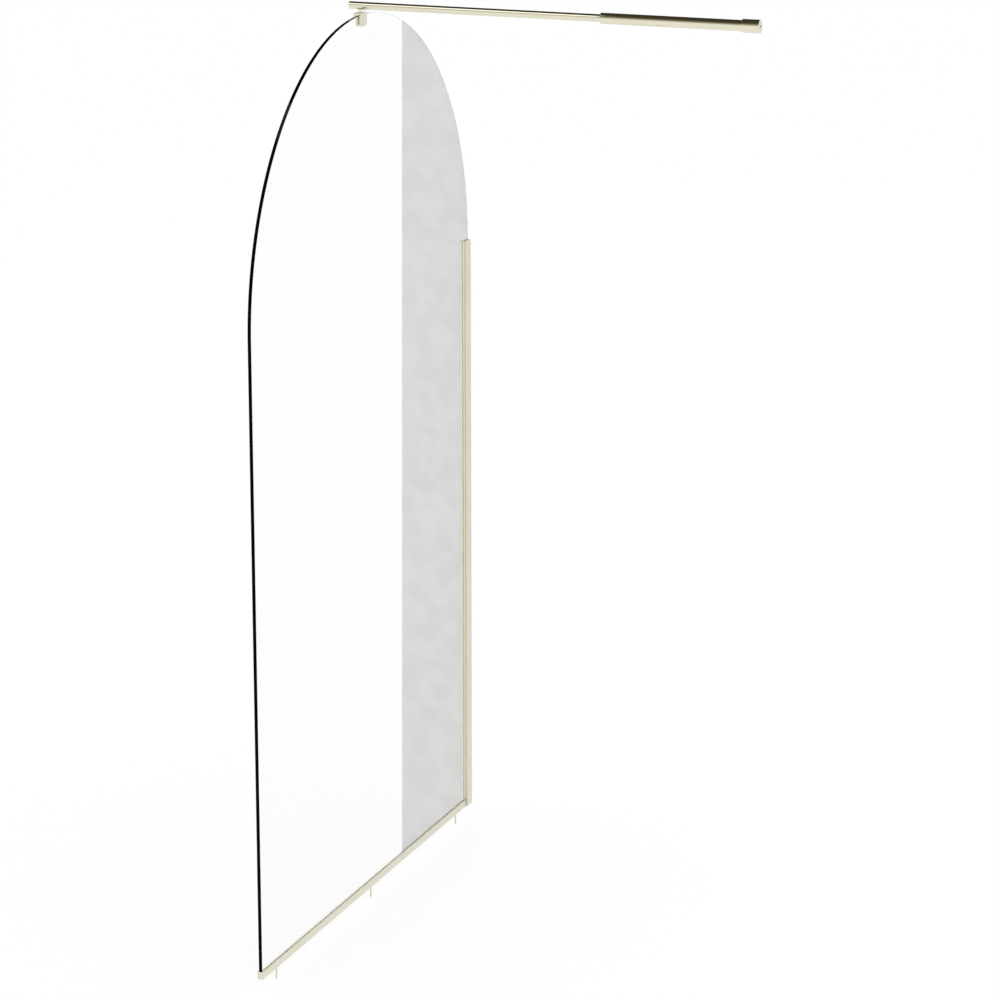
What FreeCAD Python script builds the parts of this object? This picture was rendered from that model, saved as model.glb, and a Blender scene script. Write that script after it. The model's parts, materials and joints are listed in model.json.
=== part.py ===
import FreeCAD, Part
import math
import os

from FreeCAD import Placement, Rotation, Vector

# Walk-in shower screen: an arched glass panel stands in a floor rail and a wall profile,
# and a telescopic bar, swivelling on a clamp at the crown of the arch, braces it to a second wall.
# Millimetres. X runs along the glass towards the wall, the bar points along -Y, Z is up.
# The origin lies on the underside of the floor rail, below the crown of the arch.

# Glass panel
glass_width = 1200.0
crown_height = 2000.0
glass_thickness = 8.0
glass_arris = 0.5

# Floor rail and glazing channel, two channels with the same mouth that hold the glass
channel_width = 13.0
channel_wall = 1.5
channel_corner_radius = 0.6
channel_lip_radius = 0.4
rail_height = 17.0
rail_floor = 2.0
glazing_web = 1.4

# Wall profile, the jamb that the glazing channel is pushed into
profile_depth = 31.0
profile_wall = 2.8
profile_web = 1.8
profile_height = 1397.0
profile_standoff = 5.4
profile_fit = 0.2

# Gasket groove in the channel walls, and the gasket that clips into it
groove_from_mouth = 2.0
groove_width = 1.5
groove_depth = 0.5
gasket_recess = 0.4
gasket_base = 0.5
gasket_clearance = 0.05
fin_count = 3
fin_width = 1.0
fin_pitch = 2.2

# Packing under and beside the glass
packer_clearance = 0.25
setting_block_height = 3.0
setting_block_length = 60.0
setting_block_station = 300.0
edge_packer_height = 40.0
edge_packer_inset = 250.0

# Cap on the free end of the rail
end_cap_thickness = 2.5
end_cap_radius = 0.6
end_cap_tongue = 12.0
end_cap_clearance = 0.2

# Floor screws with trumpet heads
floor_screw_inset = 80.0
floor_screw_head_diameter = 8.0
floor_screw_head_height = 4.0
floor_screw_diameter = 4.0
floor_screw_reach = 30.5
floor_screw_point_height = 2.0
floor_screw_point_diameter = 2.4
floor_screw_clearance = 0.1

# Wall screw holes in the wall profile
wall_hole_diameter = 5.0
wall_hole_countersink = 9.0
wall_hole_inset = 100.0

# Clamp on the crown of the glass
clamp_station = -12.0
clamp_length = 31.0
clamp_drop = 22.6
clamp_jaw = 4.3
clamp_roof = 5.0
clamp_edge_radius = 0.8
clamp_toe_radius = 3.0
liner_thickness = 1.0
liner_drop = 20.0
liner_inset = 0.5
clamp_screw_diameter = 5.0
clamp_screw_socket = 2.5
clamp_screw_socket_depth = 2.0
clamp_screw_recess = 0.3
clamp_screw_pitch = 16.0
clamp_screw_drop = 12.0

# Swivel post
post_diameter = 8.0
post_exposed = 6.5
post_flange_diameter = 11.0
post_flange_thickness = 1.4
post_spigot_diameter = 6.0
post_spigot_rise = 3.0
swivel_fit = 0.05
swivel_end_play = 0.1
post_flange_clearance = 0.3

# Telescopic bar, stations measured from the post axis towards the second wall
tube_wall = 1.5
tube_edge = 0.4
inner_tube_diameter = 16.5
inner_tube_overhang = 22.2
inner_tube_reach = 748.0
end_plug_thickness = 1.5
end_plug_edge = 0.5
end_plug_spigot = 8.0
swivel_block_length = 24.0
guide_bush_length = 12.0
guide_bush_spigot = 10.0
guide_bush_bore = 9.0
outer_tube_diameter = 24.0
outer_tube_mouth = 551.0
mouth_bush_length = 9.0
bush_chamfer = 0.6
telescope_fit = 0.08
insert_clearance = 0.05
saddle_clearance = 0.02

# Wall flange at the far end of the bar
flange_diameter = 29.0
flange_length = 38.5
flange_end = 900.5
flange_socket_depth = 30.0
flange_edge = 0.8
flange_hole_diameter = 5.5
flange_hole_countersink = 11.0

# Set screws in the bar
set_screw_diameter = 4.0
set_screw_socket = 2.0
set_screw_socket_depth = 1.4
set_screw_recess = 0.3
set_screw_chamfer = 0.3
lock_screw_inset = 4.0
lock_screw_gap = 0.15
flange_screw_inset = 14.0
thread_clearance = 0.05

# Places that follow from the sizes above
glass_half = glass_thickness / 2
glass_edge = glass_width / 2
glass_bottom = rail_floor + setting_block_height
floor_screw_stations = (floor_screw_inset - glass_edge, 0.0, glass_edge - floor_screw_inset)
wall_hole_stations = (wall_hole_inset, profile_height / 2, profile_height - wall_hole_inset)
edge_packer_stations = (edge_packer_inset, profile_height - edge_packer_inset)
arch_radius = glass_width / 2
spring_height = crown_height - arch_radius
channel_half = channel_width / 2
channel_inside = channel_half - channel_wall
profile_inside = channel_half + profile_fit
profile_half = profile_inside + profile_wall
wall_plane = glass_edge + profile_standoff
profile_mouth = wall_plane - profile_depth
glazing_back = wall_plane - profile_web - profile_fit
glazing_depth = glazing_back - profile_mouth
rail_length = profile_mouth + glass_edge
packer_width = 2 * (channel_inside - packer_clearance)
roof_underside = crown_height + liner_thickness
roof_top = roof_underside + clamp_roof
slot_half = glass_half + liner_thickness
clamp_half = slot_half + clamp_jaw
inner_radius = inner_tube_diameter / 2
inner_bore = inner_radius - tube_wall
outer_radius = outer_tube_diameter / 2
outer_bore = outer_radius - tube_wall
bar_height = roof_top + post_exposed + inner_radius
counterbore_depth = post_flange_thickness + 2 * swivel_end_play
flange_start = flange_end - flange_length
socket_floor = flange_start + flange_socket_depth
lock_screw_station = outer_tube_mouth + mouth_bush_length + lock_screw_inset
flange_screw_station = flange_start + flange_screw_inset

ALONG_X = Vector(1, 0, 0)
ALONG_Y = Vector(0, 1, 0)
ALONG_Z = Vector(0, 0, 1)
SAME_PLACE = 1e-6


def face_of(points):
    """Face inside a closed outline of straight edges."""
    return Part.Face(Part.makePolygon(points + points[:1]))


def block(low, high):
    """Rectangular block between two opposite corners."""
    size = high - low
    return Part.makeBox(size.x, size.y, size.z, low)


def round_edges(shape, radius, wanted):
    """Fillet the edges whose middle passes the test."""
    return shape.makeFillet(radius, [edge for edge in shape.Edges if wanted(edge.CenterOfMass)])


def at(value, target):
    """True where two coordinates are the same."""
    return abs(value - target) < SAME_PLACE


def post_turning(points):
    """Turned part on the swivel axis, from (radius, height) points."""
    outline = [Vector(clamp_station + radius, 0, height) for radius, height in points]
    return face_of(outline).revolve(Vector(clamp_station, 0, 0), ALONG_Z, 360)


def bar_turning(points):
    """Turned part on the bar's axis, from (station, radius) points."""
    outline = [Vector(clamp_station + radius, -station, bar_height) for station, radius in points]
    return face_of(outline).revolve(Vector(clamp_station, 0, bar_height), ALONG_Y, 360)


def bar_tube(start, end, bore, radius):
    """Plain tube on the bar's axis."""
    return bar_turning([(start, bore), (end, bore), (end, radius), (start, radius)])


def bar_drill(station, radius, reach):
    """Drill from the bar's axis straight down through the underside."""
    return Part.makeCylinder(radius, reach, Vector(clamp_station, -station, bar_height), -ALONG_Z)


def grub_screw(diameter, length, socket, socket_depth, tip, direction):
    """Set screw with a hexagon socket, from its tip out to its driven end."""
    radius = diameter / 2
    chamfer = set_screw_chamfer
    outline = [(0, 0), (radius, 0), (radius, length - chamfer), (radius - chamfer, length), (0, length)]
    screw = face_of([Vector(x, 0, z) for x, z in outline]).revolve(Vector(), ALONG_Z, 360)
    corner = socket / math.sqrt(3)
    turns = [math.radians(60 * step) for step in range(6)]
    floor = length - socket_depth
    hexagon = [Vector(corner * math.cos(turn), corner * math.sin(turn), floor) for turn in turns]
    screw = screw.cut(face_of(hexagon).extrude(Vector(0, 0, socket_depth)))
    screw.Placement = Placement(tip, Rotation(ALONG_Z, direction))
    return screw


def glass_panel():
    """Arched pane, a rectangle under a half circle, with ground arrises."""
    left_foot = Vector(-glass_edge, -glass_half, glass_bottom)
    right_foot = Vector(glass_edge, -glass_half, glass_bottom)
    left_spring = Vector(-glass_edge, -glass_half, spring_height)
    right_spring = Vector(glass_edge, -glass_half, spring_height)
    crown = Vector(0, -glass_half, crown_height)
    outline = Part.Wire([
        Part.LineSegment(left_foot, right_foot).toShape(),
        Part.LineSegment(right_foot, right_spring).toShape(),
        Part.Arc(right_spring, crown, left_spring).toShape(),
        Part.LineSegment(left_spring, left_foot).toShape(),
    ])
    pane = Part.Face(outline).extrude(Vector(0, glass_thickness, 0))
    rims = [edge for edge in pane.Edges if at(abs(edge.CenterOfMass.y), glass_half)]
    return pane.makeChamfer(glass_arris, rims)


def extruded(half_outline, depth, length, outer_half):
    """Extrusion along +Z of an outline mirrored about Y = 0, rounded at its web and its mouth."""
    outline = half_outline + [(x, -y) for x, y in reversed(half_outline)]
    bar = face_of([Vector(x, y, 0) for x, y in outline]).extrude(Vector(0, 0, length))
    middle = length / 2
    bar = round_edges(bar, channel_corner_radius,
                      lambda c: at(c.z, middle) and at(c.x, 0) and at(abs(c.y), outer_half))
    return round_edges(bar, channel_lip_radius,
                       lambda c: at(c.z, middle) and at(c.x, depth))


def channel(depth, web, length):
    """Channel along +Z, its web on X = 0, its mouth towards +X and a gasket groove in each wall."""
    groove_top = depth - groove_from_mouth
    groove_bottom = groove_top - groove_width
    half = [
        (0, channel_half),
        (depth, channel_half),
        (depth, channel_inside),
        (groove_top, channel_inside),
        (groove_top, channel_inside + groove_depth),
        (groove_bottom, channel_inside + groove_depth),
        (groove_bottom, channel_inside),
        (web, channel_inside),
    ]
    return extruded(half, depth, length, channel_half)


def gasket(depth, length):
    """Finned gasket along +Z for the +Y wall of a channel, its barb clipped into the groove."""
    top = depth - gasket_recess
    bottom = top - (fin_count - 1) * fin_pitch - fin_width
    barb_top = depth - groove_from_mouth - gasket_clearance
    barb_bottom = depth - groove_from_mouth - groove_width + gasket_clearance
    barb = channel_inside + groove_depth - gasket_clearance
    root = channel_inside - gasket_base
    outline = [
        (top, channel_inside),
        (barb_top, channel_inside),
        (barb_top, barb),
        (barb_bottom, barb),
        (barb_bottom, channel_inside),
        (bottom, channel_inside),
    ]
    for fin in range(fin_count):
        start = bottom + fin * fin_pitch
        if fin > 0:
            outline.append((start, root))
        outline.append((start, glass_half))
        outline.append((start + fin_width, glass_half))
        if fin < fin_count - 1:
            outline.append((start + fin_width, root))
    return face_of([Vector(x, y, 0) for x, y in outline]).extrude(Vector(0, 0, length))


def laid_in_rail(shape):
    """Lay a channel part down: its depth upwards, its length from the wall profile outwards."""
    shape.Placement = Placement(Vector(profile_mouth, 0, 0), Rotation(ALONG_Y, -90))
    return shape


def stood_upright(shape, back, foot):
    """Stand a channel part up by the wall: its depth towards the glass, its length upwards."""
    shape.Placement = Placement(Vector(back, 0, foot), Rotation(ALONG_Z, 180))
    return shape


def floor_rail():
    """Floor channel with countersunk holes for its screws."""
    rail = laid_in_rail(channel(rail_height, rail_floor, rail_length))
    head = floor_screw_head_diameter / 2 + floor_screw_clearance
    taper = (floor_screw_head_diameter - floor_screw_diameter) / 2 / floor_screw_head_height
    for station in floor_screw_stations:
        below = head - taper * rail_floor
        rail = rail.cut(Part.makeCone(below, head, rail_floor, Vector(station, 0, 0)))
    return rail


def wall_profile():
    """Jamb on the wall, open at the top, with countersunk screw holes in its web."""
    half = [
        (0, profile_half),
        (profile_depth, profile_half),
        (profile_depth, profile_inside),
        (profile_web, profile_inside),
    ]
    profile = stood_upright(extruded(half, profile_depth, profile_height, profile_half), wall_plane, 0)
    hole = wall_hole_diameter / 2
    sink = wall_hole_countersink / 2
    web_face = wall_plane - profile_web
    for station in wall_hole_stations:
        start = Vector(web_face, 0, station)
        profile = profile.cut(Part.makeCylinder(hole, profile_web, start, ALONG_X))
        profile = profile.cut(Part.makeCone(sink, hole, profile_web / 2, start, ALONG_X))
    return profile


def glazing_channel():
    """Channel on the edge of the glass, pushed into the wall profile with their mouths flush."""
    return stood_upright(channel(glazing_depth, glazing_web, profile_height), glazing_back, 0)


def mirrored(shape):
    """Copy on the other side of the glass."""
    return shape.mirror(Vector(), ALONG_Y)


def setting_blocks():
    """Blocks on the rail's floor that carry the weight of the glass."""
    blocks = []
    for side in (-1, 1):
        middle = side * setting_block_station
        low = Vector(middle - setting_block_length / 2, -packer_width / 2, rail_floor)
        high = Vector(middle + setting_block_length / 2, packer_width / 2, glass_bottom)
        blocks.append(block(low, high))
    return Part.makeCompound(blocks)


def edge_packers():
    """Packers between the edge of the glass and the web of the glazing channel."""
    packers = []
    for station in edge_packer_stations:
        low = Vector(glass_edge, -packer_width / 2, station - edge_packer_height / 2)
        high = Vector(glazing_back - glazing_web, packer_width / 2, station + edge_packer_height / 2)
        packers.append(block(low, high))
    return Part.makeCompound(packers)


def rail_end_cap():
    """Cap on the free end of the rail, with a tongue under the glass."""
    face = -glass_edge - end_cap_thickness
    plate = block(Vector(face, -channel_half, 0), Vector(-glass_edge, channel_half, rail_height))
    plate = round_edges(plate, end_cap_radius, lambda c: at(c.x, face))
    side = channel_inside - end_cap_clearance
    tongue = block(Vector(-glass_edge, -side, rail_floor),
                   Vector(-glass_edge + end_cap_tongue, side, glass_bottom - end_cap_clearance))
    return plate.fuse(tongue).removeSplitter()


def floor_screws():
    """Trumpet-head screws through the rail into the floor."""
    head = floor_screw_head_diameter / 2
    shank = floor_screw_diameter / 2
    point = floor_screw_point_diameter / 2
    outline = [
        (0, rail_floor),
        (head, rail_floor),
        (shank, rail_floor - floor_screw_head_height),
        (shank, floor_screw_point_height - floor_screw_reach),
        (point, -floor_screw_reach),
        (0, -floor_screw_reach),
    ]
    screw = face_of([Vector(x, 0, z) for x, z in outline]).revolve(Vector(), ALONG_Z, 360)
    screws = []
    for station in floor_screw_stations:
        placed = screw.copy()
        placed.translate(Vector(station, 0, 0))
        screws.append(placed)
    return Part.makeCompound(screws)


def clamp_screw_places():
    """Where the clamp's set screws bear on the liner."""
    height = crown_height - clamp_screw_drop
    offset = clamp_screw_pitch / 2
    return [Vector(clamp_station + side * offset, slot_half, height) for side in (-1, 1)]


def clamp_body():
    """Fork over the crown of the glass, bored in its roof for the swivel post."""
    near = clamp_station - clamp_length / 2
    far = clamp_station + clamp_length / 2
    toe = crown_height - clamp_drop
    fork = block(Vector(near, -clamp_half, toe), Vector(far, clamp_half, roof_top))
    fork = round_edges(fork, clamp_toe_radius,
                       lambda c: at(c.z, toe) and (at(c.x, near) or at(c.x, far)))
    fork = round_edges(fork, clamp_edge_radius, lambda c: at(c.z, roof_top))
    fork = fork.cut(block(Vector(near, -slot_half, toe), Vector(far, slot_half, roof_underside)))
    base = Vector(clamp_station, 0, roof_underside)
    fork = fork.cut(Part.makeCylinder(post_diameter / 2 + swivel_fit, clamp_roof, base))
    pocket = post_flange_diameter / 2 + post_flange_clearance
    fork = fork.cut(Part.makeCylinder(pocket, counterbore_depth, base))
    hole = clamp_screw_diameter / 2 + thread_clearance
    for place in clamp_screw_places():
        fork = fork.cut(Part.makeCylinder(hole, clamp_jaw, place, ALONG_Y))
    return fork


def clamp_liner():
    """Soft liner folded over the edge of the glass inside the clamp."""
    near = clamp_station - clamp_length / 2 + liner_inset
    far = clamp_station + clamp_length / 2 - liner_inset
    bottom = crown_height - liner_drop
    fold = block(Vector(near, -slot_half, bottom), Vector(far, slot_half, roof_underside))
    return fold.cut(block(Vector(near, -glass_half, bottom), Vector(far, glass_half, crown_height)))


def clamp_screws():
    """Set screws in the back jaw that press the liner on the glass."""
    length = clamp_jaw - clamp_screw_recess
    screws = [grub_screw(clamp_screw_diameter, length, clamp_screw_socket,
                         clamp_screw_socket_depth, place, ALONG_Y)
              for place in clamp_screw_places()]
    return Part.makeCompound(screws)


def swivel_post():
    """Flanged post that turns in the clamp, its shoulder coped to the tube that it carries."""
    foot = roof_underside + swivel_end_play
    shoulder = foot + post_flange_thickness
    rim = post_flange_diameter / 2
    journal = post_diameter / 2
    post = post_turning([(0, foot), (rim, foot), (rim, shoulder), (journal, shoulder),
                         (journal, bar_height), (0, bar_height)])
    post = post.cut(bar_tube(-post_diameter, post_diameter, 0, inner_radius + saddle_clearance))
    spigot = Part.makeCylinder(post_spigot_diameter / 2, bar_height + post_spigot_rise - shoulder,
                               Vector(clamp_station, 0, shoulder))
    return post.fuse(spigot).removeSplitter()


def swivel_block():
    """Block inside the tube that takes the thread of the post's spigot."""
    half = swivel_block_length / 2
    body = bar_tube(-half, half, 0, inner_bore - insert_clearance)
    socket = post_spigot_diameter / 2 + thread_clearance
    top = post_spigot_rise + thread_clearance
    return body.cut(Part.makeCylinder(socket, inner_radius + top,
                                      Vector(clamp_station, 0, bar_height - inner_radius)))


def inner_tube():
    """Thin tube of the bar, drilled below for the post's spigot."""
    tube = bar_tube(-inner_tube_overhang, inner_tube_reach, inner_bore, inner_radius)
    return tube.cut(bar_drill(0, post_spigot_diameter / 2 + insert_clearance, inner_radius))


def inner_end_plug():
    """Plug that closes the free end of the thin tube."""
    seat = -inner_tube_overhang
    face = seat - end_plug_thickness
    spigot = inner_bore - insert_clearance
    return bar_turning([
        (face, 0),
        (face, inner_radius - end_plug_edge),
        (face + end_plug_edge, inner_radius),
        (seat, inner_radius),
        (seat, spigot),
        (seat + end_plug_spigot, spigot),
        (seat + end_plug_spigot, 0),
    ])


def guide_bush():
    """Bush on the far end of the thin tube that runs in the bore of the thick tube."""
    seat = inner_tube_reach
    end = seat + guide_bush_length
    bore = guide_bush_bore / 2
    spigot = inner_bore - insert_clearance
    slide = outer_bore - telescope_fit
    return bar_turning([
        (seat - guide_bush_spigot, bore),
        (end, bore),
        (end, slide),
        (seat, slide),
        (seat, spigot),
        (seat - guide_bush_spigot, spigot),
    ])


def outer_tube():
    """Thick tube of the bar, seated in the wall flange and drilled for its lock screw."""
    tube = bar_turning([
        (outer_tube_mouth, outer_bore),
        (socket_floor, outer_bore),
        (socket_floor, outer_radius),
        (outer_tube_mouth + tube_edge, outer_radius),
        (outer_tube_mouth, outer_radius - tube_edge),
    ])
    hole = set_screw_diameter / 2 + thread_clearance
    return tube.cut(bar_drill(lock_screw_station, hole, outer_radius))


def mouth_bush():
    """Bush in the mouth of the thick tube that guides the thin tube."""
    end = outer_tube_mouth + mouth_bush_length
    bore = inner_radius + telescope_fit
    radius = outer_bore - insert_clearance
    return bar_turning([
        (outer_tube_mouth, bore + bush_chamfer),
        (outer_tube_mouth + bush_chamfer, bore),
        (end, bore),
        (end, radius),
        (outer_tube_mouth, radius),
    ])


def bar_set_screw(station, tip_radius, skin_radius):
    """Set screw in the underside of the bar, between two radii."""
    tip = Vector(clamp_station, -station, bar_height - tip_radius)
    length = skin_radius - set_screw_recess - tip_radius
    return grub_screw(set_screw_diameter, length, set_screw_socket, set_screw_socket_depth, tip, -ALONG_Z)


def telescope_lock_screw():
    """Set screw that locks the thick tube on the thin one."""
    return bar_set_screw(lock_screw_station, inner_radius + lock_screw_gap, outer_radius)


def wall_flange():
    """Cup that holds the thick tube, with a countersunk hole for a screw into the wall."""
    rim = flange_diameter / 2
    socket = outer_radius + insert_clearance
    hole = flange_hole_diameter / 2
    sink = flange_hole_countersink / 2
    flange = bar_turning([
        (flange_start, socket),
        (socket_floor, socket),
        (socket_floor, sink),
        (socket_floor + sink - hole, hole),
        (flange_end, hole),
        (flange_end, rim),
        (flange_start + flange_edge, rim),
        (flange_start, rim - flange_edge),
    ])
    drill = set_screw_diameter / 2 + thread_clearance
    return flange.cut(bar_drill(flange_screw_station, drill, rim))


def flange_set_screw():
    """Set screw that holds the thick tube in the flange."""
    return bar_set_screw(flange_screw_station, outer_radius + insert_clearance, flange_diameter / 2)


rail_gasket = laid_in_rail(gasket(rail_height, rail_length))
wall_gasket = stood_upright(gasket(glazing_depth, profile_height - glass_bottom),
                            glazing_back, glass_bottom)

nodes = {
    "glass_panel": glass_panel(),
    "floor_rail": floor_rail(),
    "wall_profile": wall_profile(),
    "glazing_channel": glazing_channel(),
    "rail_gasket_back": rail_gasket,
    "rail_gasket_front": mirrored(rail_gasket),
    "wall_gasket_front": wall_gasket,
    "wall_gasket_back": mirrored(wall_gasket),
    "setting_blocks": setting_blocks(),
    "edge_packers": edge_packers(),
    "rail_end_cap": rail_end_cap(),
    "floor_screws": floor_screws(),
    "clamp_body": clamp_body(),
    "clamp_liner": clamp_liner(),
    "clamp_screws": clamp_screws(),
    "swivel_post": swivel_post(),
    "swivel_block": swivel_block(),
    "inner_tube": inner_tube(),
    "inner_end_plug": inner_end_plug(),
    "guide_bush": guide_bush(),
    "outer_tube": outer_tube(),
    "mouth_bush": mouth_bush(),
    "telescope_lock_screw": telescope_lock_screw(),
    "wall_flange": wall_flange(),
    "flange_set_screw": flange_set_screw(),
}

os.makedirs("parts", exist_ok=True)
for name, shape in nodes.items():
    shape.exportStep(os.path.join("parts", name + ".step"))
    print(name, len(shape.Solids), "solid", round(shape.Volume, 1), "mm3", shape.isValid())
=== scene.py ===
"""Looks of a walk-in shower screen: an arched pane in champagne-gold channels, braced by a telescopic bar."""

import json
import logging
import math
from dataclasses import dataclass, field
from enum import Enum

import bmesh
import bpy
from mathutils import Matrix, Vector


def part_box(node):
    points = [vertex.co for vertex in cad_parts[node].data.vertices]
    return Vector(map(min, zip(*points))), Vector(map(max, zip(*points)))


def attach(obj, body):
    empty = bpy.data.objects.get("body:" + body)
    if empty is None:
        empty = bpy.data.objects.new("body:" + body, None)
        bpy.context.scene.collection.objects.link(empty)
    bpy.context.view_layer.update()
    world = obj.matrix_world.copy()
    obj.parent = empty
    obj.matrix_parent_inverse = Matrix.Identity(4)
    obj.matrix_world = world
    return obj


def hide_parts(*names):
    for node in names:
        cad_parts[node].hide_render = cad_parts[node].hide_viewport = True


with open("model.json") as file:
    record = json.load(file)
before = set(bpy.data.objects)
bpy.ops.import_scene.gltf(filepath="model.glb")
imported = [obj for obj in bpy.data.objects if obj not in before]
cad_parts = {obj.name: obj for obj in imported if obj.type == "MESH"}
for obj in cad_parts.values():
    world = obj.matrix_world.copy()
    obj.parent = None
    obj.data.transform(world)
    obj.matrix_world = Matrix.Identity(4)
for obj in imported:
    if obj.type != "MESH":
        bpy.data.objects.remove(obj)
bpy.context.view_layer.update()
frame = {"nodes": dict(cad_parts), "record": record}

Colour = tuple[float, float, float]
Point = tuple[float, float, float]

log = logging.getLogger("shower_screen")

SAME_PLACE = 1e-6
FULL_TURN = 2.0 * math.pi
MILLIMETRE = 0.001
PATTERN_MIDDLE = 0.5
PATTERN_SWING = 0.2
RELIEF_STRENGTH = 0.5


class Grain(Enum):
    """Which way the fine lines of a metal finish run, as the stretch of the pattern along X, Y and Z."""

    ALONG_GLASS = (0.015, 1.0, 1.0)
    ALONG_BAR = (1.0, 0.015, 1.0)
    UPRIGHT = (1.0, 1.0, 0.015)
    EVEN = (1.0, 1.0, 1.0)


class Bench:
    """A new material and the shader nodes that go into it."""

    def __init__(self, name: str) -> None:
        """Start a material with a Principled surface.

        Args:
            name: Name of the material.
        """
        self.material = bpy.data.materials.new(name)
        self.material.use_nodes = True
        self.tree = self.material.node_tree
        self.surface = self.tree.nodes["Principled BSDF"]
        self.output = self.tree.nodes["Material Output"]

    def add(self, kind: str, **settings: object) -> bpy.types.Node:
        """Add a shader node.

        Args:
            kind: Blender's name of the node type.
            settings: Properties to set on the node.

        Returns:
            The new node.
        """
        node = self.tree.nodes.new(kind)
        for key, value in settings.items():
            setattr(node, key, value)
        return node

    def join(self, source: bpy.types.NodeSocket, target: bpy.types.NodeSocket) -> None:
        """Link an output to an input."""
        self.tree.links.new(source, target)

    def set(self, values: dict[str, object]) -> None:
        """Set constants on the Principled surface's own sockets."""
        for socket, value in values.items():
            self.surface.inputs[socket].default_value = value

    def noise(self, stretch: Point, pitch: float, detail: float) -> bpy.types.NodeSocket:
        """Make a noise pattern that stands still on the piece.

        Args:
            stretch: Factor on the pattern's frequency along X, Y and Z.
            pitch: Size of the pattern's spots, in metres.
            detail: Number of finer layers.

        Returns:
            The pattern's output, between 0 and 1.
        """
        place = self.add("ShaderNodeTexCoord")
        mapping = self.add("ShaderNodeMapping")
        mapping.inputs["Scale"].default_value = [value / pitch for value in stretch]
        pattern = self.add("ShaderNodeTexNoise")
        pattern.inputs["Scale"].default_value = 1.0
        pattern.inputs["Detail"].default_value = detail
        self.join(place.outputs["Object"], mapping.inputs["Vector"])
        self.join(mapping.outputs["Vector"], pattern.inputs["Vector"])
        return pattern.outputs["Fac"]

    def between(self, pattern: bpy.types.NodeSocket, low: float, high: float,
                swing: float = PATTERN_SWING) -> bpy.types.NodeSocket:
        """Spread a pattern between two values.

        Args:
            pattern: A pattern between 0 and 1.
            low: Value where the pattern is weak.
            high: Value where the pattern is strong.
            swing: How far from its middle the pattern reaches those values.

        Returns:
            The spread pattern's output.
        """
        spread = self.add("ShaderNodeMapRange")
        spread.inputs["From Min"].default_value = PATTERN_MIDDLE - swing
        spread.inputs["From Max"].default_value = PATTERN_MIDDLE + swing
        spread.inputs["To Min"].default_value = low
        spread.inputs["To Max"].default_value = high
        self.join(pattern, spread.inputs["Value"])
        return spread.outputs["Result"]

    def blend(self, pattern: bpy.types.NodeSocket, weak: Colour, strong: Colour) -> bpy.types.NodeSocket:
        """Blend two colours by a pattern.

        Args:
            pattern: A pattern between 0 and 1.
            weak: Colour where the pattern is weak.
            strong: Colour where the pattern is strong.

        Returns:
            The blended colour's output.
        """
        ramp = self.add("ShaderNodeValToRGB")
        ramp.color_ramp.elements[0].position = PATTERN_MIDDLE - PATTERN_SWING
        ramp.color_ramp.elements[0].color = (*weak, 1.0)
        ramp.color_ramp.elements[1].position = PATTERN_MIDDLE + PATTERN_SWING
        ramp.color_ramp.elements[1].color = (*strong, 1.0)
        self.join(pattern, ramp.inputs["Fac"])
        return ramp.outputs["Color"]

    def relief(self, pattern: bpy.types.NodeSocket, depth: float) -> None:
        """Give the surface a fine relief.

        Args:
            pattern: A pattern between 0 and 1, used as height.
            depth: Height of the relief, in metres.
        """
        bump = self.add("ShaderNodeBump")
        bump.inputs["Strength"].default_value = RELIEF_STRENGTH
        bump.inputs["Distance"].default_value = depth
        self.join(pattern, bump.inputs["Height"])
        self.join(bump.outputs["Normal"], self.surface.inputs["Normal"])

    def seen(self) -> bpy.types.NodeSocket:
        """Sum the rays that see a background: camera, glossy and transmission rays.

        Returns:
            An output that is 1 for those rays and 0 for others.
        """
        path = self.add("ShaderNodeLightPath")
        direct = self.add("ShaderNodeMath", operation="MAXIMUM")
        every = self.add("ShaderNodeMath", operation="MAXIMUM")
        self.join(path.outputs["Is Camera Ray"], direct.inputs[0])
        self.join(path.outputs["Is Glossy Ray"], direct.inputs[1])
        self.join(direct.outputs["Value"], every.inputs[0])
        self.join(path.outputs["Is Transmission Ray"], every.inputs[1])
        return every.outputs["Value"]


@dataclass(frozen=True)
class MetalFinish:
    """A gold-toned metal surface with slow drifts of tone and the fine lines of its making."""

    name: str
    light_tone: Colour
    deep_tone: Colour
    smooth: float
    rough: float
    line_pitch: float
    line_depth: float
    drift_size: float = 0.08
    line_detail: float = 2.0
    drift_detail: float = 3.0

    def material(self, grain: Grain) -> bpy.types.Material:
        """Make the finish, or give it back where it has been made.

        Args:
            grain: Which way its lines run.

        Returns:
            The material.
        """
        name = f"{self.name}_{grain.name.lower()}"
        if name in bpy.data.materials:
            return bpy.data.materials[name]
        bench = Bench(name)
        lines = bench.noise(grain.value, self.line_pitch, self.line_detail)
        drift = bench.noise(Grain.EVEN.value, self.drift_size, self.drift_detail)
        bench.set({"Metallic": 1.0})
        bench.join(bench.blend(drift, self.deep_tone, self.light_tone), bench.surface.inputs["Base Color"])
        bench.join(bench.between(lines, self.smooth, self.rough), bench.surface.inputs["Roughness"])
        bench.relief(lines, self.line_depth)
        return bench.material


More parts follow.
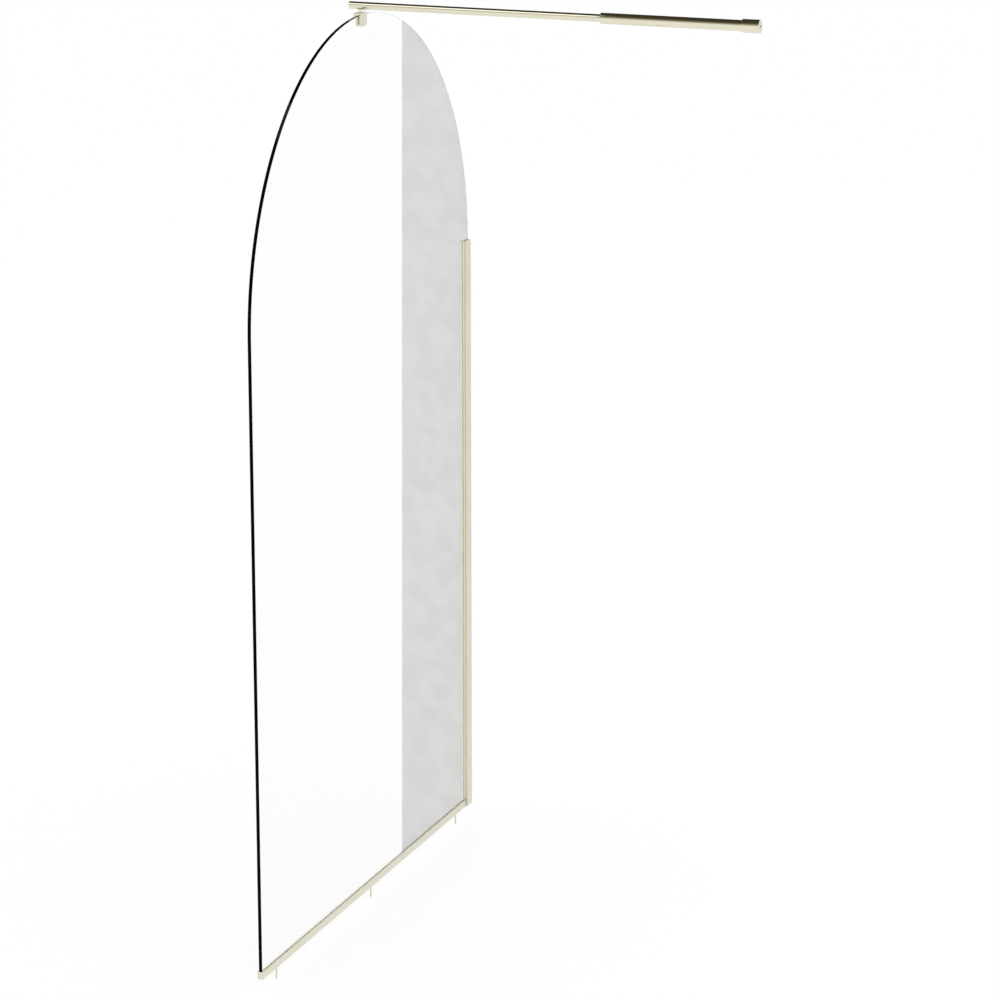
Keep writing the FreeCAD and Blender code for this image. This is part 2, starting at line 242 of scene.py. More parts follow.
@dataclass(frozen=True)
class PlasticFinish:
    """A moulded or extruded plastic surface, from a cloudy clear one to a black one."""

    name: str
    light_tone: Colour
    deep_tone: Colour
    roughness: float
    glow: float
    grain_pitch: float
    grain_depth: float
    grain_detail: float = 4.0
    roughness_play: float = 0.2
    glow_reach: Colour = (0.002, 0.002, 0.0015)

    def material(self) -> bpy.types.Material:
        """Make the finish, or give it back where it has been made.

        Returns:
            The material.
        """
        if self.name in bpy.data.materials:
            return bpy.data.materials[self.name]
        bench = Bench(self.name)
        grain = bench.noise(Grain.EVEN.value, self.grain_pitch, self.grain_detail)
        play = self.roughness_play * self.roughness
        bench.set({
            "Subsurface Weight": self.glow,
            "Subsurface Radius": self.glow_reach,
            "Subsurface Scale": 1.0,
        })
        bench.join(bench.blend(grain, self.deep_tone, self.light_tone), bench.surface.inputs["Base Color"])
        bench.join(bench.between(grain, self.roughness - play, self.roughness + play),
                   bench.surface.inputs["Roughness"])
        bench.relief(grain, self.grain_depth)
        return bench.material


@dataclass(frozen=True)
class ClearGlass:
    """Toughened clear glass with an easy-clean coating, nearly without colour through its thickness."""

    name: str = "clear_toughened_glass"
    light_tone: Colour = (0.980, 0.981, 0.977)
    deep_tone: Colour = (0.970, 0.972, 0.966)
    refraction: float = 1.52
    coating: float = 1.0
    coating_refraction: float = 1.72
    cloud_size: float = 0.3
    cloud_detail: float = 2.0

    def material(self) -> bpy.types.Material:
        """Make the glass, clear to the light of lamps.

        Returns:
            The material.
        """
        bench = Bench(self.name)
        clouds = bench.noise(Grain.EVEN.value, self.cloud_size, self.cloud_detail)
        bench.set({
            "Transmission Weight": 1.0,
            "Roughness": 0.0,
            "IOR": self.refraction,
            "Coat Weight": self.coating,
            "Coat Roughness": 0.0,
            "Coat IOR": self.coating_refraction,
        })
        bench.join(bench.blend(clouds, self.deep_tone, self.light_tone), bench.surface.inputs["Base Color"])
        path = bench.add("ShaderNodeLightPath")
        passing = bench.add("ShaderNodeBsdfTransparent")
        passing.inputs["Color"].default_value = (*self.deep_tone, 1.0)
        choice = bench.add("ShaderNodeMixShader")
        bench.join(path.outputs["Is Shadow Ray"], choice.inputs["Fac"])
        bench.join(bench.surface.outputs["BSDF"], choice.inputs[1])
        bench.join(passing.outputs["BSDF"], choice.inputs[2])
        bench.join(choice.outputs["Shader"], bench.output.inputs["Surface"])
        return bench.material


@dataclass(frozen=True)
class GlassEdge:
    """The polished edge of the glass, dark green because one looks along the whole width of the pane."""

    name: str = "dark_green_glass_edge"
    light_tone: Colour = (0.010, 0.034, 0.012)
    deep_tone: Colour = (0.004, 0.018, 0.006)
    mirror_tone: Colour = (0.02, 0.05, 0.02)
    refraction: float = 1.52
    streak_pitch: float = 0.0015
    streak_run: Point = (0.05, 1.0, 0.05)
    streak_detail: float = 2.0
    streak_roughness: float = 0.04

    def material(self) -> bpy.types.Material:
        """Make the edge, with the faint streaks that the polishing wheel leaves along it.

        Returns:
            The material.
        """
        bench = Bench(self.name)
        streaks = bench.noise(self.streak_run, self.streak_pitch, self.streak_detail)
        bench.set({
            "Transmission Weight": 1.0,
            "IOR": self.refraction,
            "Specular Tint": (*self.mirror_tone, 1.0),
        })
        bench.join(bench.blend(streaks, self.deep_tone, self.light_tone), bench.surface.inputs["Base Color"])
        bench.join(bench.between(streaks, 0.0, self.streak_roughness), bench.surface.inputs["Roughness"])
        return bench.material


SATIN_CHAMPAGNE = MetalFinish(
    name="satin_champagne_anodising",
    light_tone=(0.745, 0.718, 0.600),
    deep_tone=(0.715, 0.688, 0.568),
    smooth=0.26,
    rough=0.36,
    line_pitch=0.0011,
    line_depth=0.00001,
)
POLISHED_GOLD = MetalFinish(
    name="polished_gold_coating",
    light_tone=(0.775, 0.750, 0.610),
    deep_tone=(0.750, 0.725, 0.585),
    smooth=0.05,
    rough=0.09,
    line_pitch=0.0008,
    line_depth=0.000002,
)
SATIN_GOLD = MetalFinish(
    name="satin_gold_plating",
    light_tone=(0.755, 0.722, 0.580),
    deep_tone=(0.725, 0.690, 0.545),
    smooth=0.18,
    rough=0.27,
    line_pitch=0.0009,
    line_depth=0.000004,
)
PASSIVATED_STEEL = MetalFinish(
    name="gold_passivated_steel",
    light_tone=(0.690, 0.672, 0.550),
    deep_tone=(0.650, 0.625, 0.495),
    smooth=0.22,
    rough=0.34,
    line_pitch=0.0006,
    line_depth=0.000004,
    drift_size=0.004,
)
# Painted light: the seals' pale golden tone is raised and warmed to stand in for the gold light reflected
# into the channels, and to lift the shade in their recesses.
CLOUDY_SEAL_PAINTED_LIGHT = PlasticFinish(
    name="cloudy_seal_with_painted_light",
    light_tone=(0.90, 0.85, 0.62),
    deep_tone=(0.84, 0.79, 0.55),
    roughness=0.42,
    glow=0.25,
    grain_pitch=0.004,
    grain_depth=0.00002,
)
CLEAR_PACKING = PlasticFinish(
    name="cloudy_hard_packing",
    light_tone=(0.80, 0.80, 0.76),
    deep_tone=(0.72, 0.72, 0.68),
    roughness=0.35,
    glow=0.35,
    grain_pitch=0.006,
    grain_depth=0.00003,
)
BLACK_ACETAL = PlasticFinish(
    name="black_acetal",
    light_tone=(0.030, 0.030, 0.031),
    deep_tone=(0.018, 0.018, 0.019),
    roughness=0.38,
    glow=0.0,
    grain_pitch=0.0008,
    grain_depth=0.00001,
)


def verts_of(geometry: list) -> list[bmesh.types.BMVert]:
    """Pick the vertices out of an operator's result."""
    return [item for item in geometry if isinstance(item, bmesh.types.BMVert)]


def chain(bm: bmesh.types.BMesh, points: list[Point]) -> list:
    """Join a few points to an open outline.

    Args:
        bm: Mesh that the outline is drawn in.
        points: Corners of the outline, in metres.

    Returns:
        The outline's vertices and edges.
    """
    verts = [bm.verts.new(point) for point in points]
    edges = [bm.edges.new(pair) for pair in zip(verts, verts[1:])]
    return verts + edges


def sharpen(bm: bmesh.types.BMesh, angle: float) -> None:
    """Shade a mesh smooth, with a crease at each edge that turns by more than an angle.

    Args:
        bm: Mesh to shade.
        angle: Smallest angle of a crease, in degrees.
    """
    for face in bm.faces:
        face.smooth = True
    for edge in bm.edges:
        edge.smooth = len(edge.link_faces) == 2 and edge.calc_face_angle() < math.radians(angle)


def finished(bm: bmesh.types.BMesh, name: str, materials: list[bpy.types.Material],
             crease: float = 30.0) -> bpy.types.Object:
    """Turn a mesh into a piece of the scene.

    Args:
        bm: Mesh in its final place.
        name: Name of the piece.
        materials: Its materials, in the order of the faces' numbers.
        crease: Smallest angle of a crease, in degrees.

    Returns:
        The new object.
    """
    bmesh.ops.remove_doubles(bm, verts=bm.verts[:], dist=SAME_PLACE)
    bmesh.ops.recalc_face_normals(bm, faces=bm.faces[:])
    sharpen(bm, crease)
    mesh = bpy.data.meshes.new(name)
    bm.to_mesh(mesh)
    bm.free()
    for material in materials:
        mesh.materials.append(material)
    piece = bpy.data.objects.new(name, mesh)
    bpy.context.scene.collection.objects.link(piece)
    return piece


def bar_axis() -> Vector:
    """Give a point of the bar's axis, square to the post: the flange's hole lies on that axis."""
    hole = next(mount for mount in frame["record"]["mounts"] if mount["name"] == "flange_hole")
    return Vector((hole["pos_m"][0], 0.0, hole["pos_m"][2]))


def install(piece: bpy.types.Object, body: str, node: str) -> None:
    """Put a new piece in the place of a node.

    Args:
        piece: The new piece.
        body: Body that it moves with.
        node: Node that it stands for.
    """
    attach(piece, body)
    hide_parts(node)
    log.info("built %s for %s", piece.name, node)


def dress(node: str, material: bpy.types.Material) -> None:
    """Give a node of the frame its finish.

    Args:
        node: Name of the node.
        material: Its finish.
    """
    piece = frame["nodes"][node]
    if not piece.material_slots:
        piece.data.materials.append(material)
    for slot in piece.material_slots:
        slot.material = material
    log.info("dressed %s in %s", node, material.name)


@dataclass
class GlassPane:
    """The arched pane: a rectangle under a half circle, with arrised rims and dark polished edges."""

    crown: float = 2.0
    seal_play: float = 0.00004
    arris: float = 0.00015
    arc_steps: int = 160
    least_facing: float = 0.5
    radius: float = field(init=False)
    foot: float = field(init=False)
    thickness: float = field(init=False)

    def __post_init__(self) -> None:
        """Take the pane's width, foot and thickness from the frame, with a little play in the seals."""
        low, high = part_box("glass_panel")
        self.radius = (high.x - low.x) / 2
        self.foot = low.z
        self.thickness = high.y - low.y - 2 * self.seal_play

    def outline(self, bm: bmesh.types.BMesh) -> None:
        """Draw the front face: the arch spun over from spring to spring, both legs drawn down to the foot.

        Args:
            bm: Mesh that takes the face.
        """
        spring = self.crown - self.radius
        front = -self.thickness / 2
        start = bm.verts.new((self.radius, front, spring))
        arch = bmesh.ops.spin(bm, geom=[start], cent=(0.0, front, spring), axis=(0.0, 1.0, 0.0),
                              angle=-math.pi, steps=self.arc_steps)
        legs = bmesh.ops.extrude_vert_indiv(bm, verts=[start] + verts_of(arch["geom_last"]))
        bmesh.ops.translate(bm, verts=legs["verts"], vec=(0.0, 0.0, self.foot - spring))
        bmesh.ops.contextual_create(bm, geom=legs["verts"])
        bmesh.ops.contextual_create(bm, geom=bm.edges[:])

    def build(self) -> bpy.types.Object:
        """Build the pane with clear faces and dark edges.

        Returns:
            The pane.
        """
        bm = bmesh.new()
        self.outline(bm)
        back = bmesh.ops.extrude_face_region(bm, geom=bm.faces[:])
        bmesh.ops.translate(bm, verts=verts_of(back["geom"]), vec=(0.0, self.thickness, 0.0))
        bmesh.ops.recalc_face_normals(bm, faces=bm.faces[:])
        rims = [edge for edge in bm.edges
                if abs(edge.verts[0].co.y - edge.verts[1].co.y) < SAME_PLACE]
        bmesh.ops.bevel(bm, geom=rims, offset=self.arris, offset_type="OFFSET", affect="EDGES",
                        segments=1, profile=0.5, material=-1)
        bm.normal_update()
        for face in bm.faces:
            face.material_index = 0 if abs(face.normal.y) > self.least_facing else 1
        return finished(bm, "arched_pane", [ClearGlass().material(), GlassEdge().material()])

    def install(self) -> None:
        """Build the pane in the place of the plain one."""
        install(self.build(), "screen", "glass_panel")


@dataclass
class ChannelFrame:
    """Floor rail, wall profile and glazing channel with their seals, packing and end cap."""

    lip_reach: float = 0.0055
    lip_taper: float = 0.4
    lip_clearance: float = 0.0005

    def lipped_seal(self) -> bpy.types.Object:
        """Draw a soft lip out of the front wall seal, along the glass and from the rail upwards.

        Returns:
            The seal.
        """
        bm = bmesh.new()
        bm.from_mesh(frame["nodes"]["wall_gasket_front"].data)
        bmesh.ops.remove_doubles(bm, verts=bm.verts[:], dist=SAME_PLACE)
        low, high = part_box("wall_gasket_front")
        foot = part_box("floor_rail")[1].z + self.lip_clearance
        bmesh.ops.bisect_plane(bm, geom=bm.verts[:] + bm.edges[:] + bm.faces[:], dist=SAME_PLACE,
                               plane_co=(0.0, 0.0, foot), plane_no=(0.0, 0.0, 1.0))
        mouth = [face for face in bm.faces
                 if all(abs(vert.co.x - low.x) < SAME_PLACE for vert in face.verts)
                 and face.calc_center_median().z > foot]
        rims = {edge for face in mouth for edge in face.edges}
        lip = verts_of(bmesh.ops.extrude_face_region(bm, geom=mouth + list(rims))["geom"])
        bmesh.ops.translate(bm, verts=lip, vec=(-self.lip_reach, 0.0, 0.0))
        bmesh.ops.scale(bm, verts=lip, vec=(1.0, self.lip_taper, 1.0),
                        space=Matrix.Translation((0.0, -high.y, 0.0)))
        return finished(bm, "lipped_front_seal", [CLOUDY_SEAL_PAINTED_LIGHT.material()])

    def install(self) -> None:
        """Build the lipped seal, give the channels their anodising and the plastics theirs."""
        install(self.lipped_seal(), "screen", "wall_gasket_front")
        dress("floor_rail", SATIN_CHAMPAGNE.material(Grain.ALONG_GLASS))
        dress("wall_profile", SATIN_CHAMPAGNE.material(Grain.UPRIGHT))
        dress("glazing_channel", SATIN_CHAMPAGNE.material(Grain.UPRIGHT))
        dress("rail_end_cap", SATIN_CHAMPAGNE.material(Grain.EVEN))
        for node in ("rail_gasket_front", "rail_gasket_back", "wall_gasket_back"):
            dress(node, CLOUDY_SEAL_PAINTED_LIGHT.material())
        for node in ("setting_blocks", "edge_packers"):
            dress(node, CLEAR_PACKING.material())


@dataclass
class FloorScrews:
    """Three countersunk screws under the rail, each with a hexagon socket, a cut thread and a point."""

    head_height: float = 0.004
    core_radius: float = 0.00182
    tip_radius: float = 0.0003
    point_height: float = 0.003
    thread_pitch: float = 0.0014
    thread_root: float = 0.9
    thread_flank: float = 0.4
    socket_radius: float = 0.0017
    socket_depth: float = 0.0018
    socket_sides: int = 6
    turn_steps: int = 24
    stations: list[float] = field(init=False)
    crest_radius: float = field(init=False)
    head_radius: float = field(init=False)
    top: float = field(init=False)
    tip: float = field(init=False)

    def __post_init__(self) -> None:
        """Take the screws' places, thickness and reach from the frame."""
        pins = [mount for mount in frame["record"]["mounts"] if mount["kind"] == "pin"]
        low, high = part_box("floor_screws")
        self.stations = [pin["pos_m"][0] for pin in pins]
        self.crest_radius = pins[0]["dims"]["r_mm"] * MILLIMETRE
        self.head_radius = high.x - max(self.stations)
        self.top = high.z
        self.tip = low.z

    def head(self, bm: bmesh.types.BMesh) -> None:
        """Close the head with a flat rim around a hexagon socket.

        Args:
            bm: Mesh that takes the head.
        """
        place = Matrix.Translation((0.0, 0.0, self.top))
        rim = bmesh.ops.create_circle(bm, segments=self.turn_steps, radius=self.head_radius, matrix=place)
        hexagon = bmesh.ops.create_circle(bm, segments=self.socket_sides, radius=self.socket_radius,
                                          matrix=place)
        edges = {edge for vert in rim["verts"] + hexagon["verts"] for edge in vert.link_edges}
        socket = [edge for edge in edges if edge.verts[0] in hexagon["verts"]]
        bmesh.ops.bridge_loops(bm, edges=list(edges))
        walls = bmesh.ops.extrude_edge_only(bm, edges=socket)
        bmesh.ops.translate(bm, verts=verts_of(walls["geom"]), vec=(0.0, 0.0, -self.socket_depth))
        bmesh.ops.contextual_create(bm, geom=verts_of(walls["geom"]))

    def shank(self, bm: bmesh.types.BMesh) -> None:
        """Spin the cone under the head, the core and the point.

        Args:
            bm: Mesh that takes the shank.
        """
        neck = self.top - self.head_height
        outline = chain(bm, [
            (self.head_radius, 0.0, self.top),
            (self.crest_radius, 0.0, neck),
            (self.core_radius, 0.0, neck - self.thread_pitch / 2),
            (self.core_radius, 0.0, self.tip + self.point_height),
            (self.tip_radius, 0.0, self.tip),
            (0.0, 0.0, self.tip),
        ])
        bmesh.ops.spin(bm, geom=outline, cent=(0.0, 0.0, 0.0), axis=(0.0, 0.0, 1.0),
                       angle=FULL_TURN, steps=self.turn_steps, use_merge=True)

    def thread(self, bm: bmesh.types.BMesh) -> None:
        """Wind a ridge around the core, from under the head to the point.

        Args:
            bm: Mesh that takes the ridge.
        """
        start = self.top - self.head_height
        turns = int((start - self.tip - self.point_height) / self.thread_pitch)
        root = self.thread_root * self.core_radius
        half = self.thread_flank * self.thread_pitch
        ridge = chain(bm, [
            (root, 0.0, start + half),
            (self.crest_radius, 0.0, start),
            (root, 0.0, start - half),
        ])
        section = bmesh.ops.contextual_create(bm, geom=ridge)
        drop = self.thread_pitch / self.turn_steps
        bmesh.ops.spin(bm, geom=ridge + section["edges"] + section["faces"], cent=(0.0, 0.0, 0.0),
                       axis=(0.0, 0.0, 1.0), dvec=(0.0, 0.0, -drop), angle=FULL_TURN * turns,
                       steps=self.turn_steps * turns)

    def build(self) -> bpy.types.Object:
        """Build one screw and set it at each station.

        Returns:
            The three screws as one piece.
        """
        bm = bmesh.new()
        self.head(bm)
        self.shank(bm)
        self.thread(bm)
        bmesh.ops.remove_doubles(bm, verts=bm.verts[:], dist=SAME_PLACE)
        model = bm.verts[:] + bm.edges[:] + bm.faces[:]
        for station in self.stations[1:]:
            copy = bmesh.ops.duplicate(bm, geom=model)
            bmesh.ops.translate(bm, verts=verts_of(copy["geom"]), vec=(station, 0.0, 0.0))
        bmesh.ops.translate(bm, verts=verts_of(model), vec=(self.stations[0], 0.0, 0.0))
        return finished(bm, "threaded_floor_screws", [PASSIVATED_STEEL.material(Grain.EVEN)])

    def install(self) -> None:
        """Build the screws in the place of the plain ones."""
        install(self.build(), "screen", "floor_screws")


@dataclass
class CrownClamp:
    """The fork on the crown of the glass, with its liner, set screws and swivel post."""

    edge_ease: float = 0.0003
    ease_segments: int = 2
    least_angle: float = 50.0
    flat_angle: float = 0.5

    def build(self) -> bpy.types.Object:
        """Ease the sharp edges of the machined fork.

        Returns:
            The fork.
        """
        bm = bmesh.new()
        bm.from_mesh(frame["nodes"]["clamp_body"].data)
        bmesh.ops.remove_doubles(bm, verts=bm.verts[:], dist=SAME_PLACE)
        bmesh.ops.dissolve_limit(bm, angle_limit=math.radians(self.flat_angle), verts=bm.verts[:],
                                 edges=bm.edges[:])
        sharp = [edge for edge in bm.edges
                 if len(edge.link_faces) == 2 and edge.calc_face_angle() > math.radians(self.least_angle)]
        bmesh.ops.bevel(bm, geom=sharp, offset=self.edge_ease, offset_type="OFFSET", affect="EDGES",
                        segments=self.ease_segments, profile=0.5, material=-1, clamp_overlap=True)
        return finished(bm, "crown_fork", [SATIN_GOLD.material(Grain.EVEN)])

    def install(self) -> None:
        """Build the fork and dress what it holds."""
        install(self.build(), "screen", "clamp_body")
        dress("clamp_liner", CLOUDY_SEAL_PAINTED_LIGHT.material())
        dress("clamp_screws", PASSIVATED_STEEL.material(Grain.EVEN))
        dress("swivel_post", POLISHED_GOLD.material(Grain.EVEN))


@dataclass
class SupportBar:
    """The telescopic bar: thin tube with its end plug, thick tube, bushes, screws and wall flange."""

    tube_wall: float = 0.0015
    plug_clearance: float = 0.00005
    plug_edge: float = 0.0006
    edge_segments: int = 4
    turn_steps: int = 64
    axis: Vector = field(init=False)
    tube_radius: float = field(init=False)
    plug_seat: float = field(init=False)
    plug_face: float = field(init=False)
    spigot_end: float = field(init=False)

    def __post_init__(self) -> None:
        """Take the bar's axis, the thin tube and the plug's reach from the frame."""
        tube_low, tube_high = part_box("inner_tube")
        plug_low, plug_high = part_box("inner_end_plug")
        self.axis = bar_axis()
        self.tube_radius = (tube_high.x - tube_low.x) / 2
        self.plug_seat = tube_high.y
        self.plug_face = plug_high.y
        self.spigot_end = plug_low.y

    def plug(self) -> bpy.types.Object:
        """Spin the end plug and round the edge of its face.

        Returns:
            The plug.
        """
        bm = bmesh.new()
        spigot = self.tube_radius - self.tube_wall - self.plug_clearance
        corners = [(0.0, self.plug_face), (self.tube_radius, self.plug_face),
                   (self.tube_radius, self.plug_seat), (spigot, self.plug_seat),
                   (spigot, self.spigot_end), (0.0, self.spigot_end)]
        outline = chain(bm, [(self.axis.x + radius, along, self.axis.z) for radius, along in corners])
        bmesh.ops.spin(bm, geom=outline, cent=self.axis, axis=(0.0, 1.0, 0.0),
                       angle=FULL_TURN, steps=self.turn_steps, use_merge=True)
        bmesh.ops.remove_doubles(bm, verts=bm.verts[:], dist=SAME_PLACE)
        rim = [edge for edge in bm.edges if all(self.on_rim(vert.co) for vert in edge.verts)]
        bmesh.ops.bevel(bm, geom=rim, offset=self.plug_edge, offset_type="OFFSET", affect="EDGES",
                        segments=self.edge_segments, profile=0.5, material=-1)
        return finished(bm, "rounded_end_plug", [SATIN_GOLD.material(Grain.EVEN)])

    def on_rim(self, point: Vector) -> bool:
        """Tell whether a point lies on the outer rim of the plug's face.

        Args:
            point: Place of the point.

        Returns:
            True for a point of the rim.
        """
        radius = math.hypot(point.x - self.axis.x, point.z - self.axis.z)
        return abs(point.y - self.plug_face) < SAME_PLACE and abs(radius - self.tube_radius) < SAME_PLACE

    def install(self) -> None:
        """Build the plug and dress the rest of the bar."""
        install(self.plug(), "bar_inner", "inner_end_plug")
        for node in ("inner_tube", "outer_tube", "wall_flange"):
            dress(node, POLISHED_GOLD.material(Grain.ALONG_BAR))
        dress("swivel_block", SATIN_GOLD.material(Grain.EVEN))
        for node in ("guide_bush", "mouth_bush"):
            dress(node, BLACK_ACETAL.material())
        for node in ("telescope_lock_screw", "flange_set_screw"):
            dress(node, PASSIVATED_STEEL.material(Grain.EVEN))


def for_gloss_only(card: bpy.types.Object) -> None:
    """Let a card of the studio show in reflections alone.

    Args:
        card: The card.
    """
    card.visible_camera = False
    card.visible_diffuse = False
    card.visible_transmission = False
    card.visible_volume_scatter = False
    card.visible_shadow = False


@dataclass(frozen=True)
class BentCard:
    """A card bent around the bar's axis, whose light changes with the angle around that axis: a painted
    reflection of light and shade on the tubes.

    Each stop is an angle in degrees, up from the side away from the camera, with the light there.
    """

    name: str
    start: float
    end: float
    stops: tuple[tuple[float, float], ...]
    radius: float = 1.0
    bend_steps: int = 32
    dim_tone: Colour = (1.0, 0.85, 0.50)

    def shade(self, light: float) -> tuple[float, ...]:
        """Give dim light a brown tone and bright light a white one.

        Args:
            light: Strength of the light.

        Returns:
            The colour with its opacity.
        """
        share = min(light, 1.0)
        return (*[light * (value + (1.0 - value) * share) for value in self.dim_tone], 1.0)

    def paint(self) -> bpy.types.Material:
        """Make the card's light.

        Returns:
            The material.
        """
        bench = Bench(self.name)
        axis = bar_axis()
        place = bench.add("ShaderNodeTexCoord")
        apart = bench.add("ShaderNodeSeparateXYZ")
        across = bench.add("ShaderNodeMath", operation="SUBTRACT")
        across.inputs[1].default_value = axis.x
        above = bench.add("ShaderNodeMath", operation="SUBTRACT")
        above.inputs[1].default_value = axis.z
        angle = bench.add("ShaderNodeMath", operation="ARCTAN2")
        share = bench.add("ShaderNodeMath", operation="DIVIDE")
        share.inputs[1].default_value = math.pi
        ramp = bench.add("ShaderNodeValToRGB")
        elements = ramp.color_ramp.elements
        for number, (turn, light) in enumerate(self.stops):
            position = math.radians(turn) / math.pi
            stop = elements[number] if number < len(elements) else elements.new(position)
            stop.position = position
            stop.color = self.shade(light)
        glow = bench.add("ShaderNodeEmission")
        bench.join(place.outputs["Object"], apart.inputs["Vector"])
        bench.join(apart.outputs["X"], across.inputs[0])
        bench.join(apart.outputs["Z"], above.inputs[0])
        bench.join(above.outputs["Value"], angle.inputs[0])
        bench.join(across.outputs["Value"], angle.inputs[1])
        bench.join(angle.outputs["Value"], share.inputs[0])
        bench.join(share.outputs["Value"], ramp.inputs["Fac"])
        bench.join(ramp.outputs["Color"], glow.inputs["Color"])
        bench.join(glow.outputs["Emission"], bench.output.inputs["Surface"])
        return bench.material

    def hang(self) -> None:
        """Bend the card from its first stop to its last, and hang it up."""
        bm = bmesh.new()
        axis = bar_axis()
        first = math.radians(self.stops[0][0])
        last = math.radians(self.stops[-1][0])
        x = axis.x + self.radius * math.cos(first)
        z = axis.z + self.radius * math.sin(first)
        edge = chain(bm, [(x, self.start, z), (x, self.end, z)])
        bmesh.ops.spin(bm, geom=edge, cent=axis, axis=(0.0, 1.0, 0.0), angle=first - last,
                       steps=self.bend_steps)
        for_gloss_only(finished(bm, self.name, [self.paint()]))


@dataclass(frozen=True)
class CloudedCard:
    """A tall clouded card that the wall side of the pane mirrors, with a step at the wall profile's top: a
    painted reflection on the glass.

    Its sides lean as the camera sees them: a pair of places is that of a side's upper and lower end.
    """

    name: str = "clouded_flag"
    station: float = 16.0
    top: float = 0.5
    step: float = -1.893
    foot: float = -6.5
    open_side: tuple[float, float] = (-6.631, -6.682)
    rim_side: tuple[float, float] = (-6.144, -6.149)
    profile_side: float = -6.212
    tone: Colour = (1.0, 1.0, 0.97)
    light: float = 0.12
    spot_size: float = 0.14
    spot_swing: float = 0.1
    spot_detail: float = 5.0

    def paint(self) -> bpy.types.Material:
        """Make the card's faint clouds.

        Returns:
            The material.
        """
        bench = Bench(self.name)
        clouds = bench.noise(Grain.EVEN.value, self.spot_size, self.spot_detail)
        glow = bench.add("ShaderNodeEmission")
        glow.inputs["Color"].default_value = (*self.tone, 1.0)
        bench.join(bench.between(clouds, 0.0, self.light, self.spot_swing), glow.inputs["Strength"])
        bench.join(glow.outputs["Emission"], bench.output.inputs["Surface"])
        return bench.material

    def hang(self) -> None:
        """Cut the card to its outline, and hang it up."""
        bm = bmesh.new()
        corners = [
            (self.open_side[0], self.top),
            (self.open_side[1], self.foot),
            (self.profile_side, self.foot),
            (self.profile_side, self.step),
            (self.rim_side[1], self.step),
            (self.rim_side[0], self.top),
        ]
        outline = verts_of(chain(bm, [(self.station, across, up) for across, up in corners]))
        bmesh.ops.contextual_create(bm, geom=[outline[0], outline[-1]])
        bmesh.ops.contextual_create(bm, geom=bm.edges[:])
        for_gloss_only(finished(bm, self.name, [self.paint()]))


# Painted reflections: these cards paint the dark and bright bands that the thick and thin tubes mirror, with
# a painted highlight along the thin tube.
TUBE_CARDS = (
    BentCard(
        name="card_along_thick_tube",
        start=-2.5,
        end=-0.196,
        stops=((24.0, 0.032), (115.0, 0.064), (136.0, 0.13), (156.0, 0.46), (174.0, 0.90), (178.0, 1.0)),
    ),
    BentCard(
        name="card_over_thin_tube",
        start=-0.196,
        end=2.5,
        stops=((13.0, 0.035), (110.0, 0.05)),
    ),
    BentCard(
        name="card_before_thin_tube",
        start=-0.196,
        end=2.5,
        stops=((110.0, 1.68), (134.0, 1.68), (138.0, 0.68), (166.0, 0.68), (178.0, 1.0)),
    ),
)


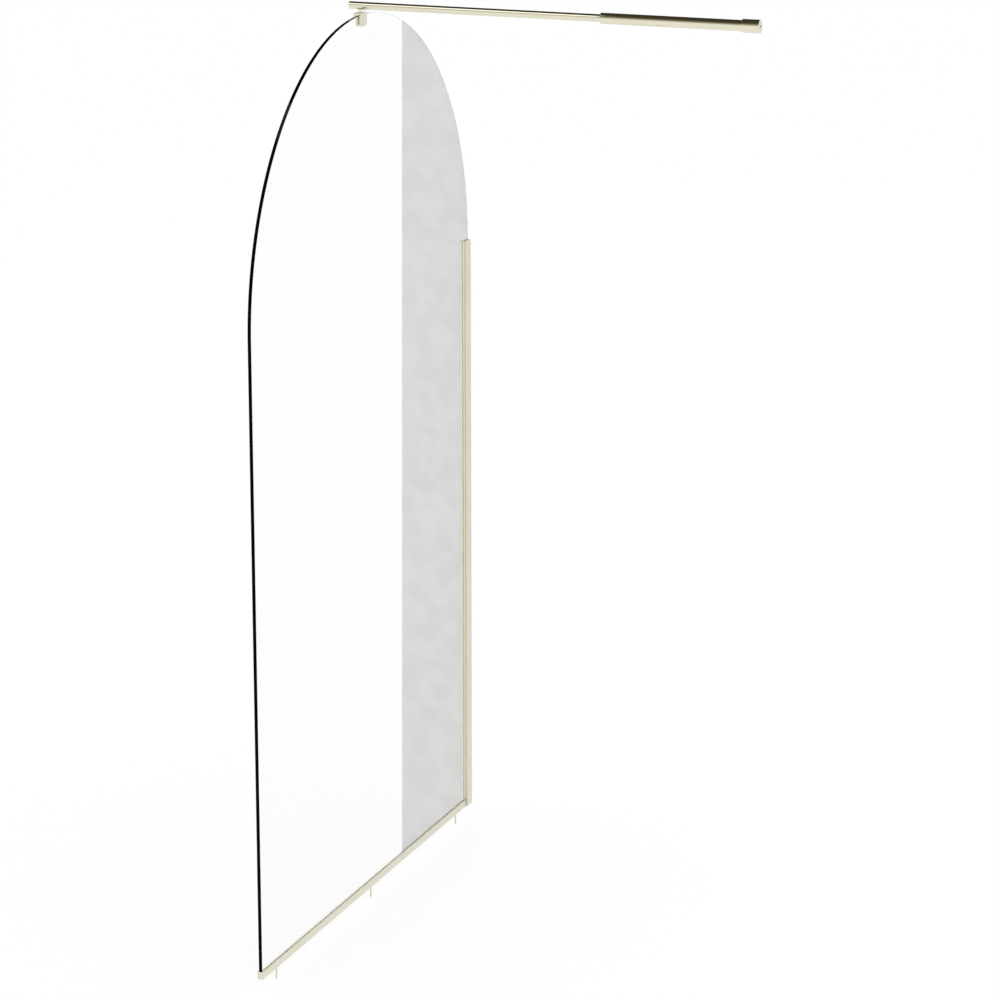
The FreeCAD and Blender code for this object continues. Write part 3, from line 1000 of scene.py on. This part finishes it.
@dataclass
class Studio:
    """White studio: floor, even sky, soft key lamp, dark cards that paint reflections on the gloss, and the
    camera.
    """

    floor_gap: float = 0.0005
    floor_span: float = 240.0
    floor_tone: float = 0.99
    floor_white: float = 0.85
    key_place: Point = (-3.2, -4.2, 5.4)
    key_aim: Point = (0.0, -0.2, 0.9)
    key_size: float = 3.2
    key_power: float = 70.0
    camera_place: Point = (-7.3689, -3.1884, 3.0891)
    camera_yaw: float = 0.3714
    camera_pitch: float = 0.2645
    focal_pixels: float = 3726.05
    picture_pixels: float = 1000.0
    sensor_width: float = 36.0
    sight: float = 500.0

    def set_stage(self) -> None:
        """Build the whole studio."""
        self.sky()
        self.floor()
        self.key_lamp()
        for card in TUBE_CARDS:
            card.hang()
        CloudedCard().hang()
        self.camera()

    def sky(self) -> None:
        """Light the object evenly from all round with a plain white sky."""
        world = bpy.data.worlds.new("white_studio")
        world.use_nodes = True
        background = world.node_tree.nodes["Background"]
        background.inputs["Color"].default_value = (1.0, 1.0, 1.0, 1.0)
        background.inputs["Strength"].default_value = 1.0
        world.cycles.sampling_method = "NONE"
        bpy.context.scene.world = world

    def floor(self) -> None:
        """Lay a pale floor that shows nearly white and keeps the object's shadow."""
        bm = bmesh.new()
        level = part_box("floor_screws")[0].z - self.floor_gap
        bmesh.ops.create_grid(bm, x_segments=1, y_segments=1, size=self.floor_span / 2,
                              matrix=Matrix.Translation((0.0, 0.0, level)))
        bench = Bench("pale_floor")
        bench.set({
            "Base Color": (self.floor_tone,) * 3 + (1.0,),
            "Roughness": 1.0,
            "Specular IOR Level": 0.0,
        })
        white = bench.add("ShaderNodeEmission")
        share = bench.add("ShaderNodeMath", operation="MULTIPLY")
        share.inputs[1].default_value = self.floor_white
        choice = bench.add("ShaderNodeMixShader")
        bench.join(bench.seen(), share.inputs[0])
        bench.join(share.outputs["Value"], choice.inputs["Fac"])
        bench.join(bench.surface.outputs["BSDF"], choice.inputs[1])
        bench.join(white.outputs["Emission"], choice.inputs[2])
        bench.join(choice.outputs["Shader"], bench.output.inputs["Surface"])
        floor = finished(bm, "studio_floor", [bench.material])
        floor.visible_glossy = False

    def key_lamp(self) -> None:
        """Hang a large soft lamp above the camera's left shoulder."""
        light = bpy.data.lights.new("soft_key", type="AREA")
        light.shape = "DISK"
        light.size = self.key_size
        light.energy = self.key_power
        lamp = bpy.data.objects.new("soft_key", light)
        lamp.location = self.key_place
        aim = Vector(self.key_aim) - Vector(self.key_place)
        lamp.rotation_euler = aim.to_track_quat("-Z", "Y").to_euler()
        lamp.visible_glossy = False
        lamp.visible_transmission = False
        bpy.context.scene.collection.objects.link(lamp)

    def camera(self) -> None:
        """Set up the camera at the photograph's viewing angle."""
        lens = bpy.data.cameras.new("front_left_camera")
        lens.sensor_width = self.sensor_width
        lens.lens = self.sensor_width * self.focal_pixels / self.picture_pixels
        lens.clip_end = self.sight
        level = math.cos(self.camera_pitch)
        gaze = Vector((level * math.cos(self.camera_yaw), level * math.sin(self.camera_yaw),
                       -math.sin(self.camera_pitch)))
        camera = bpy.data.objects.new("front_left_camera", lens)
        camera.location = self.camera_place
        camera.rotation_euler = gaze.to_track_quat("-Z", "Y").to_euler()
        bpy.context.scene.collection.objects.link(camera)
        bpy.context.scene.camera = camera


def main() -> None:
    """Build and dress the screen, piece by piece, and set it in the studio."""
    logging.basicConfig(level=logging.INFO, format="%(name)s: %(message)s")
    bpy.context.scene.view_settings.view_transform = "Standard"
    Studio().set_stage()
    GlassPane().install()
    ChannelFrame().install()
    FloorScrews().install()
    CrownClamp().install()
    SupportBar().install()


if __name__ == "__main__":
    main()
